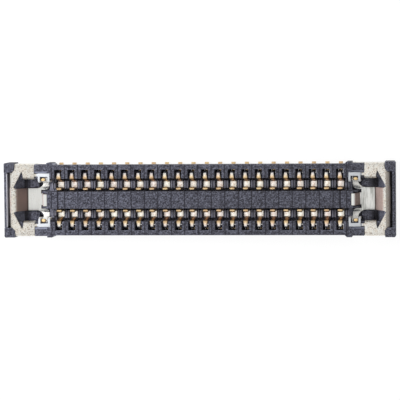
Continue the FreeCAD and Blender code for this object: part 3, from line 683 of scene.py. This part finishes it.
def strip_tree():
    """Geometry Nodes tree of one contact: a strip swept along its folded centre line."""
    return node_group("folded contact strip", "GeometryNodeTree", [
        ("Geometry", "NodeSocketGeometry", None),
        ("Thickness", "NodeSocketFloat", 0.06 * MM),
        ("Unit width", "NodeSocketFloat", 0.1 * MM),
        ("Fold steps", "NodeSocketInt", 5),
        ("Side", "NodeSocketFloat", 1.0),
        ("Place", "NodeSocketFloat", 0.0),
        ("Number", "NodeSocketInt", 0),
        ("Seed", "NodeSocketInt", 7),
        ("Material", "NodeSocketMaterial", None),
    ], [("Geometry", "NodeSocketGeometry")], {
        "in": ("NodeGroupInput", {}),
        "side": ("ShaderNodeCombineXYZ", {"X": 1.0, "Y": "in.Side", "Z": 1.0}),
        "to side": ("GeometryNodeTransform", {"Geometry": "in.Geometry", "Scale": "side.Vector"}),
        "line": ("GeometryNodeMeshToCurve", {"Mesh": "to side.Geometry"}),
        "fold": ("GeometryNodeInputNamedAttribute", {"data_type": "FLOAT", "Name": "fold"}),
        "folded": ("GeometryNodeFilletCurve", {
            "mode": "POLY", "Curve": "line.Curve", "Radius": "fold.Attribute",
            "Count": "in.Fold steps", "Limit Radius": True,
        }),
        "across": ("GeometryNodeSetCurveNormal", {
            "mode": "FREE", "Curve": "folded.Curve", "Normal": (1.0, 0.0, 0.0),
        }),
        "factor": ("GeometryNodeSplineParameter", {}),
        "along": ("GeometryNodeStoreNamedAttribute", {
            "data_type": "FLOAT", "Geometry": "across.Curve", "Name": "along", "Value": "factor.Factor",
        }),
        "width": maths("MULTIPLY", "in.Unit width", 2.0),
        "section": ("GeometryNodeCurvePrimitiveQuadrilateral", {
            "Width": "width.0", "Height": "in.Thickness",
        }),
        "sweep": ("GeometryNodeCurveToMesh", {
            "Curve": "along.Geometry", "Profile Curve": "section.Curve", "Fill Caps": True,
        }),
        "where": ("GeometryNodeInputPosition", {}),
        "split": ("ShaderNodeSeparateXYZ", {"Vector": "where.Position"}),
        "spread": ("GeometryNodeInputNamedAttribute", {"data_type": "FLOAT", "Name": "spread"}),
        "wide": maths("MULTIPLY_ADD", "split.X", "spread.Attribute", "in.Place"),
        "joined": ("ShaderNodeCombineXYZ", {"X": "wide.0", "Y": "split.Y", "Z": "split.Z"}),
        "shape": ("GeometryNodeSetPosition", {"Geometry": "sweep.Mesh", "Position": "joined.Vector"}),
        "chance": ("FunctionNodeRandomValue", {
            "data_type": "FLOAT", "ID": "in.Number", "Seed": "in.Seed",
        }),
        "tone": ("GeometryNodeStoreNamedAttribute", {
            "data_type": "FLOAT", "Geometry": "shape.Geometry", "Name": "tone",
            "Value": "chance.Value",
        }),
        "realise": ("GeometryNodeRealizeInstances", {"Geometry": "tone.Geometry"}),
        "finish": ("GeometryNodeSetMaterial", {
            "Geometry": "realise.Geometry", "Material": "in.Material",
        }),
        "out": ("NodeGroupOutput", {"Geometry": "finish.Geometry"}),
    })


def new_object(name, data):
    made = bpy.data.objects.new(name, data)
    bpy.context.scene.collection.objects.link(made)
    return made


def plain_mesh(source, name):
    """The finished mesh of an object with its modifiers, in a new object; the source is removed."""
    bpy.context.view_layer.update()
    graph = bpy.context.evaluated_depsgraph_get()
    shown = source.evaluated_get(graph)
    mesh = bpy.data.meshes.new_from_object(shown, preserve_all_data_layers=True, depsgraph=graph)
    if not mesh.polygons:
        raise RuntimeError(f"{name} has no faces")
    mesh.name = name
    bpy.data.objects.remove(source)
    return new_object(name, mesh)


def set_inputs(modifier, values):
    """Sets a tree's inputs by the identifiers of its sockets."""
    ids = {
        item.name: item.identifier
        for item in modifier.node_group.interface.items_tree
        if item.item_type == "SOCKET" and item.in_out == "INPUT"
    }
    for name, value in values.items():
        modifier[ids[name]] = value


def add_bevel(target, width, limit):
    bevel = target.modifiers.new("edge round", "BEVEL")
    bevel.width = width
    bevel.segments = 2
    bevel.limit_method = limit
    bevel.use_clamp_overlap = False
    bevel.miter_outer = "MITER_ARC"
    return bevel


def smoothed(piece, sharp_angle):
    """Shades a piece smooth between its sharp edges, with normals that keep its flats flat."""
    piece.data.shade_smooth()
    piece.data.set_sharp_from_angle(angle=sharp_angle)
    flats = piece.modifiers.new("flat faces", "WEIGHTED_NORMAL")
    flats.mode = "FACE_AREA_WITH_ANGLE"
    flats.keep_sharp = True
    return plain_mesh(piece, piece.data.name)


def merged_copy(node, name):
    """A copy of a solid's mesh with its loose triangles merged and its flat faces joined."""
    mesh = frame["nodes"][node].data.copy()
    mesh.name = name
    mesh.materials.clear()
    made = bmesh.new()
    made.from_mesh(mesh)
    bmesh.ops.remove_doubles(made, verts=made.verts, dist=WELD)
    bmesh.ops.dissolve_limit(made, angle_limit=FLAT_ANGLE, verts=made.verts, edges=made.edges)
    many_sided = [face for face in made.faces if len(face.verts) > 4]
    bmesh.ops.triangulate(made, faces=many_sided, quad_method="BEAUTY", ngon_method="BEAUTY")
    return mesh, made


def weight_edges(made, least_length, lowest):
    """Marks the outward edges that get rounded."""
    layer = made.edges.layers.float.new("bevel_weight_edge")
    for edge in made.edges:
        if len(edge.link_faces) != 2 or not edge.is_convex:
            continue
        if edge.calc_face_angle() < SHARP_ANGLE or edge.calc_length() < least_length:
            continue
        if min(vert.co.z for vert in edge.verts) < lowest:
            continue
        edge[layer] = 1.0


def round_tips(made, width, least_x, least_length):
    """Rounds the windows' corners, the upright inward edges of the folded sheet."""
    tips = []
    for edge in made.edges:
        low, high = (vert.co for vert in edge.verts)
        if len(edge.link_faces) != 2 or edge.is_convex or abs(low.x) < least_x:
            continue
        if abs(low.x - high.x) + abs(low.y - high.y) > UPRIGHT_SLACK:
            continue
        if edge.calc_face_angle() > SHARP_ANGLE and edge.calc_length() > least_length:
            tips.append(edge)
    bmesh.ops.bevel(
        made, geom=tips, offset=width, segments=3, profile=0.5, affect="EDGES", clamp_overlap=True
    )


def rounded(made, mesh, name, width):
    """A new piece from the edited mesh, with its marked edges rounded."""
    made.to_mesh(mesh)
    made.free()
    blank = new_object(name + "_blank", mesh)
    add_bevel(blank, width, "WEIGHT")
    return plain_mesh(blank, name)


def finish_piece(piece, material, node):
    piece.data.materials.clear()
    piece.data.materials.append(material)
    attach(piece, "root")
    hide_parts(node)


class MakeHousing(bpy.types.Operator):
    """Makes the moulded housing with rounded edges and its plastic"""

    bl_idname = "connector.make_housing"
    bl_label = "Housing"

    def execute(self, context):
        size = settings("connector_housing")
        mesh, made = merged_copy("housing", "housing_moulding")
        weight_edges(made, size.least_edge, size.round_from)
        piece = rounded(made, mesh, "housing_moulding", size.edge_round)
        piece = smoothed(piece, size.sharp_angle)
        finish_piece(piece, housing_plastic(), "housing")
        return {"FINISHED"}


def add_domes(mesh, across):
    """Adds the two pressed domes on the arms of one fitting, and marks them for their gold."""
    size = settings("connector_fitting")
    made = bmesh.new()
    made.from_mesh(mesh)
    layer = made.verts.layers.float.new("gilt")
    shape = Matrix.Diagonal((size.dome_width, size.dome_depth, size.dome_rise, 1.0))
    for side in ROWS.values():
        spot = Vector((across * size.dome_x, side * size.dome_y, TOP - size.arm_drop))
        ball = bmesh.ops.create_uvsphere(
            made, u_segments=20, v_segments=12, radius=1.0, matrix=Matrix.Translation(spot) @ shape
        )
        for vert in ball["verts"]:
            vert[layer] = 1.0
    made.to_mesh(mesh)
    made.free()


class MakeFittings(bpy.types.Operator):
    """Makes the two folded end fittings with their plated finish"""

    bl_idname = "connector.make_fittings"
    bl_label = "End fittings"

    def execute(self, context):
        size = settings("connector_fitting")
        material = fitting_metal()
        for side, across in (("left", -1.0), ("right", 1.0)):
            node = f"{side}_end_fitting"
            name = f"{side}_folded_sheet"
            mesh, made = merged_copy(node, name)
            round_tips(made, size.tip_round, size.frame_end, size.least_tip)
            weight_edges(made, size.least_edge, 0.0)
            piece = rounded(made, mesh, name, size.edge_round)
            add_domes(piece.data, across)
            piece = smoothed(piece, size.sharp_angle)
            finish_piece(piece, material, node)
        return {"FINISHED"}


def contact_line():
    """Stations of a contact's centre line in the +Y row: Y, Z, fold radius and half width."""
    size = settings("connector_contacts")
    half = size.thickness / 2
    tail = CONTACT_HIGH.y
    leg = tail - size.tail_length
    turn = leg - size.crown_span
    heel = turn - size.leg_lean
    crown = CONTACT_HIGH.z - half
    spring = CONTACT_LOW.y + half
    foot = size.foot_height
    flare_foot = foot + size.flare_foot
    bulge_top = crown - size.bulge_drop
    bulge_foot = bulge_top - size.bulge_height
    bulge = spring + size.bulge_reach
    leg_half = size.leg_width / 2
    foot_half = size.foot_width / 2
    spring_half = size.spring_width / 2
    sharp = size.fold_radius
    return [
        (tail, half, 0.0, leg_half),
        (leg, half, sharp, leg_half),
        (leg, crown - size.crown_foot, 0.0, leg_half * size.neck_narrow),
        (leg, crown, size.crown_outer_radius, leg_half * size.crown_narrow),
        (turn, crown, size.crown_radius, leg_half),
        (heel + size.leg_lean * size.flare_lean, foot + size.flare_height, 0.0, leg_half),
        (heel + size.leg_lean * size.flare_foot_lean, flare_foot, 0.0, foot_half * size.flare_narrow),
        (heel, foot, sharp, foot_half),
        (spring, foot, sharp, foot_half),
        (spring, flare_foot, 0.0, spring_half),
        (spring, bulge_foot, size.bulge_radius, spring_half),
        (bulge, bulge_top, size.bulge_radius, spring_half * size.bulge_narrow),
        (bulge - size.tip_return, bulge_top, 0.0, spring_half * size.tip_narrow),
    ]


def contact_blank(name):
    """Centre line of a contact as loose edges, with the fold and the width at each station."""
    unit = settings("connector_contacts").unit_width
    stations = contact_line()
    mesh = bpy.data.meshes.new(name)
    points = [(0.0, y, z) for y, z, fold, half in stations]
    steps = [(i, i + 1) for i in range(len(points) - 1)]
    mesh.from_pydata(points, steps, [])
    folds = mesh.attributes.new("fold", "FLOAT", "POINT")
    spreads = mesh.attributes.new("spread", "FLOAT", "POINT")
    for i, (y, z, fold, half) in enumerate(stations):
        folds.data[i].value = fold
        spreads.data[i].value = half / unit
    return new_object(name, mesh)


class MakeContacts(bpy.types.Operator):
    """Makes both rows of spring contacts, each from one swept strip"""

    bl_idname = "connector.make_contacts"
    bl_label = "Contacts"

    def execute(self, context):
        size = settings("connector_contacts")
        material = contact_metal()
        for row, side in ROWS.items():
            for number in range(1, PER_ROW + 1):
                node = f"contact_{row}{number:02d}"
                blank = contact_blank(node + "_line")
                modifier = blank.modifiers.new("strip", "NODES")
                modifier.node_group = strip_tree()
                set_inputs(modifier, {
                    "Thickness": size.thickness,
                    "Unit width": size.unit_width,
                    "Fold steps": size.fold_steps,
                    "Side": side,
                    "Place": node_middle(node).x,
                    "Number": number if row == "a" else number + PER_ROW,
                    "Seed": size.seed,
                    "Material": material,
                })
                add_bevel(blank, size.edge_round, "ANGLE").angle_limit = size.bevel_angle
                piece = smoothed(plain_mesh(blank, node + "_strip"), size.sharp_angle)
                finish_piece(piece, material, node)
        return {"FINISHED"}


def floor_material():
    """Pale floor that keeps the part's shadow and shows as white to the camera and in the metal."""
    size = settings("connector_stage")
    return new_material("pale floor", {
        "ray": ("ShaderNodeLightPath", {}),
        "seen": maths("MAXIMUM", "ray.Is Camera Ray", "ray.Is Glossy Ray"),
        "share": maths("MULTIPLY", "seen.0", size.floor_white),
        "surface": ("ShaderNodeBsdfDiffuse", {"Color": opaque(size.floor_colour)}),
        "white": ("ShaderNodeEmission", {"Strength": 1.05}),
        "mixed": ("ShaderNodeMixShader", {"Fac": "share.0", 1: "surface.BSDF", 2: "white.Emission"}),
        "out": ("ShaderNodeOutputMaterial", {"Surface": "mixed.Shader"}),
    })


def studio_world():
    """Even white studio: brighter up on the left than at the horizon, and white to the camera."""
    size = settings("connector_stage")
    white = (1.0, 1.0, 1.0, 1.0)
    world = bpy.data.worlds.new("studio")
    world.use_nodes = True
    world.node_tree.nodes.clear()
    build(world.node_tree, {
        "place": ("ShaderNodeTexCoord", {}),
        "toward": vectors("DOT_PRODUCT", "place.Generated", tuple(size.sky_toward)),
        "height": span("toward.Value", -0.1, 0.95, 0.42, 0.90),
        "light": ("ShaderNodeBackground", {"Color": white, "Strength": "height.Result"}),
        "plain": ("ShaderNodeBackground", {"Color": white, "Strength": 1.0}),
        "ray": ("ShaderNodeLightPath", {}),
        "mixed": ("ShaderNodeMixShader", {
            "Fac": "ray.Is Camera Ray", 1: "light.Background", 2: "plain.Background",
        }),
        "out": ("ShaderNodeOutputWorld", {"Surface": "mixed.Shader"}),
    })
    bpy.context.scene.world = world


def add_lamp(name, spot, width, watts):
    """A square lamp that shines on the part's middle and stays out of the camera's view."""
    data = bpy.data.lights.new(name, "AREA")
    data.shape = "SQUARE"
    data.size = width
    data.energy = watts
    lamp = new_object(name, data)
    lamp.location = spot
    lamp.rotation_euler = (-Vector(spot)).to_track_quat("-Z", "Y").to_euler()
    lamp.visible_camera = False
    return lamp


def light_only(lamp, pieces):
    """Keeps a lamp's light to the given pieces."""
    lit = bpy.data.collections.new(lamp.name + " receivers")
    for piece in pieces:
        lit.objects.link(piece)
    lamp.light_linking.receiver_collection = lit


def add_camera():
    """Camera nearly straight above the part, leaning toward +X and +Y and rolled a little."""
    size = settings("connector_stage")
    toward_x = math.sin(size.tilt_x)
    toward_y = math.sin(size.tilt_y)
    back = Vector((toward_x, toward_y, math.sqrt(1 - toward_x ** 2 - toward_y ** 2)))
    level_right = Vector((0, 1, 0)).cross(back).normalized()
    level_up = back.cross(level_right)
    c = math.cos(size.roll)
    s = math.sin(size.roll)
    right = c * level_right + s * level_up
    up = c * level_up - s * level_right
    data = bpy.data.cameras.new("camera")
    data.sensor_width = 36
    data.lens = data.sensor_width * size.distance / size.view_width
    data.clip_start = size.distance * 0.2
    data.clip_end = size.distance * 20
    camera = new_object("camera", data)
    aim = Vector((size.aim_x, size.aim_y, TOP))
    turn = Matrix((right, up, back)).transposed().to_4x4()
    camera.matrix_world = Matrix.Translation(aim + back * size.distance) @ turn
    bpy.context.scene.camera = camera


class MakeStage(bpy.types.Operator):
    """Makes the pale floor, the studio's light, two lamps and the camera"""

    bl_idname = "connector.make_stage"
    bl_label = "Stage"

    def execute(self, context):
        size = settings("connector_stage")
        half = size.floor_half
        mesh = bpy.data.meshes.new("floor")
        corners = [(-half, -half), (half, -half), (half, half), (-half, half)]
        mesh.from_pydata([(x, y, -size.floor_drop) for x, y in corners], [], [(0, 1, 2, 3)])
        floor = new_object("floor", mesh)
        floor.data.materials.append(floor_material())
        studio_world()
        key = add_lamp("key", size.key_place, size.key_width, size.key_power)
        key.visible_glossy = False
        overhead = add_lamp("overhead", size.overhead_place, size.overhead_width, size.overhead_power)
        strips = [made for made in context.scene.objects if made.name.endswith("_strip")]
        light_only(overhead, strips)
        add_camera()
        bpy.context.scene.view_settings.view_transform = "Standard"
        return {"FINISHED"}


class ConnectorPanel(bpy.types.Panel):
    """Lists the steps that dress the connector"""

    bl_idname = "VIEW3D_PT_connector"
    bl_label = "Connector"
    bl_space_type = "VIEW_3D"
    bl_region_type = "UI"
    bl_category = "Connector"

    def draw(self, context):
        for step in STEPS:
            self.layout.operator(step.bl_idname)
        for name in GROUPS:
            box = self.layout.box()
            group = getattr(context.scene, name)
            for key in group.__annotations__:
                box.prop(group, key)


STEPS = (MakeHousing, MakeFittings, MakeContacts, MakeStage)
GROUPS = {
    "connector_housing": HousingSettings,
    "connector_fitting": FittingSettings,
    "connector_contacts": ContactSettings,
    "connector_stage": StageSettings,
}


def register():
    for group in GROUPS.values():
        bpy.utils.register_class(group)
    for name, group in GROUPS.items():
        setattr(bpy.types.Scene, name, PointerProperty(type=group))
    for step in STEPS:
        bpy.utils.register_class(step)
    bpy.utils.register_class(ConnectorPanel)


def unregister():
    bpy.utils.unregister_class(ConnectorPanel)
    for step in reversed(STEPS):
        bpy.utils.unregister_class(step)
    for name, group in GROUPS.items():
        delattr(bpy.types.Scene, name)
        bpy.utils.unregister_class(group)


def main():
    register()
    bpy.ops.connector.make_housing()
    bpy.ops.connector.make_fittings()
    bpy.ops.connector.make_contacts()
    bpy.ops.connector.make_stage()


if __name__ == "__main__":
    main()
